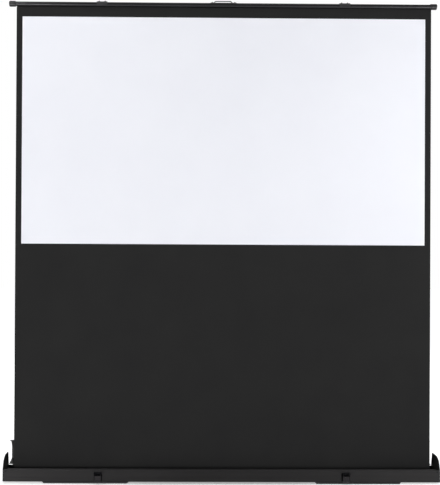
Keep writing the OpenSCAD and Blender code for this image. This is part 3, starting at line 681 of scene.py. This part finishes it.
def studio_floor():
    made = bmesh.new()
    low, high = -FLOOR_REACH, FLOOR_REACH
    corners = [(low, low), (high, low), (high, high), (low, high)]
    made.faces.new([made.verts.new((x, y, 0)) for x, y in corners])
    mesh = bpy.data.meshes.new("studio_floor")
    made.to_mesh(mesh)
    made.free()
    floor = bpy.data.objects.new("studio_floor", mesh)
    bpy.context.scene.collection.objects.link(floor)
    finish = bare_finish("studio_white")
    paint = add(finish, "ShaderNodeBsdfDiffuse", {"Color": colour("#fafafa")})
    # The lamps reach only the near floor, where the object's shadow is. Farther out it has to glow
    # to look white. Only camera and glossy rays see it glow, so it lights no matt surface.
    where = add(finish, "ShaderNodeTexCoord")
    apart = add(finish, "ShaderNodeVectorMath", {0: (where, "Object")}, operation="LENGTH")
    far = add(
        finish,
        "ShaderNodeMapRange",
        {
            "Value": (apart, "Value"),
            "From Min": NEAR,
            "From Max": FAR,
            "To Min": NEAR_GLOW,
            "To Max": FAR_GLOW,
        },
    )
    glow = add(finish, "ShaderNodeEmission", {"Strength": (far, 0)})
    both = add(finish, "ShaderNodeAddShader", {0: (paint, 0), 1: (glow, 0)})
    ray = add(finish, "ShaderNodeLightPath")
    seen = add(
        finish,
        "ShaderNodeMath",
        {0: (ray, "Is Camera Ray"), 1: (ray, "Is Glossy Ray")},
        operation="MAXIMUM",
    )
    pick = add(finish, "ShaderNodeMixShader", {0: (seen, 0), 1: (paint, 0), 2: (both, 0)})
    add(finish, "ShaderNodeOutputMaterial", {"Surface": (pick, 0)})
    mesh.materials.append(finish)


def studio_world():
    world = bpy.data.worlds.new("studio_world")
    bpy.context.scene.world = world
    world.use_nodes = True
    world.node_tree.nodes.clear()
    ray = add(world, "ShaderNodeLightPath")
    clear = add(
        world,
        "ShaderNodeMath",
        {0: (ray, "Is Camera Ray"), 1: (ray, "Is Transmission Ray")},
        operation="MAXIMUM",
    )
    seen = add(
        world, "ShaderNodeMath", {0: (clear, 0), 1: (ray, "Is Glossy Ray")}, operation="MAXIMUM"
    )
    # Mirror-like pieces see the white backdrop behind the object and a dimmer room on the lamps' side
    where = add(world, "ShaderNodeTexCoord")
    sides = add(world, "ShaderNodeSeparateXYZ", {0: (where, "Generated")})
    depth = add(
        world,
        "ShaderNodeMapRange",
        {"Value": (sides, "Y"), "From Min": -0.8, "From Max": 0.1, "To Min": 0.35, "To Max": 1},
    )
    strength = add(world, "ShaderNodeMath", {0: (clear, 0), 1: (depth, 0)}, operation="MAXIMUM")
    room = add(world, "ShaderNodeBackground", {"Color": (0.94, 0.95, 1, 1), "Strength": ROOM_LIGHT})
    white = add(world, "ShaderNodeBackground", {"Color": (1, 1, 1, 1), "Strength": (strength, 0)})
    pick = add(world, "ShaderNodeMixShader", {0: (seen, 0), 1: (room, 0), 2: (white, 0)})
    add(world, "ShaderNodeOutputWorld", {"Surface": (pick, 0)})


def soft_lamp(name, at, towards, size, watts, tone):
    data = bpy.data.lights.new(name, "AREA")
    data.shape = "RECTANGLE"
    data.size, data.size_y = size
    data.energy = watts
    data.color = colour(tone)[:3]
    lamp = bpy.data.objects.new(name, data)
    lamp.location = at
    lamp.rotation_euler = (Vector(towards) - Vector(at)).to_track_quat("-Z", "Y").to_euler()
    bpy.context.scene.collection.objects.link(lamp)


studio_floor()
studio_world()

LAMP_TONE = "#fdfdff"
# Name, place, the point it is aimed at, width and height, watts, colour
LAMPS = [
    ("low_left", (-1.8, -3.0, 0.4), (-0.95, 0, 0.1), (0.5, 0.7), 46, LAMP_TONE),
    ("low_right", (2.2, -3.0, 0.4), (1.0, 0, 0.1), (0.5, 0.7), 27, LAMP_TONE),
    ("high_left", (-1.5, -1.3, 3.1), (-0.8, 0, 1.9), (0.6, 0.6), 13, LAMP_TONE),
    ("side_right", (2.0, -1.5, 1.7), (0.9, 0, 1.5), (0.6, 1.4), 17.5, LAMP_TONE),
    ("top_soft", (-0.3, -0.8, 4.2), (-0.1, 0, 0.8), (3.0, 1.6), 18, "#ffffff"),
    ("back_soft", (0, 3.4, 2.4), (0, 0, 1.0), (2.6, 1.6), 60, "#ffffff"),
]
for lamp in LAMPS:
    soft_lamp(*lamp)

bpy.context.scene.view_settings.view_transform = "Standard"
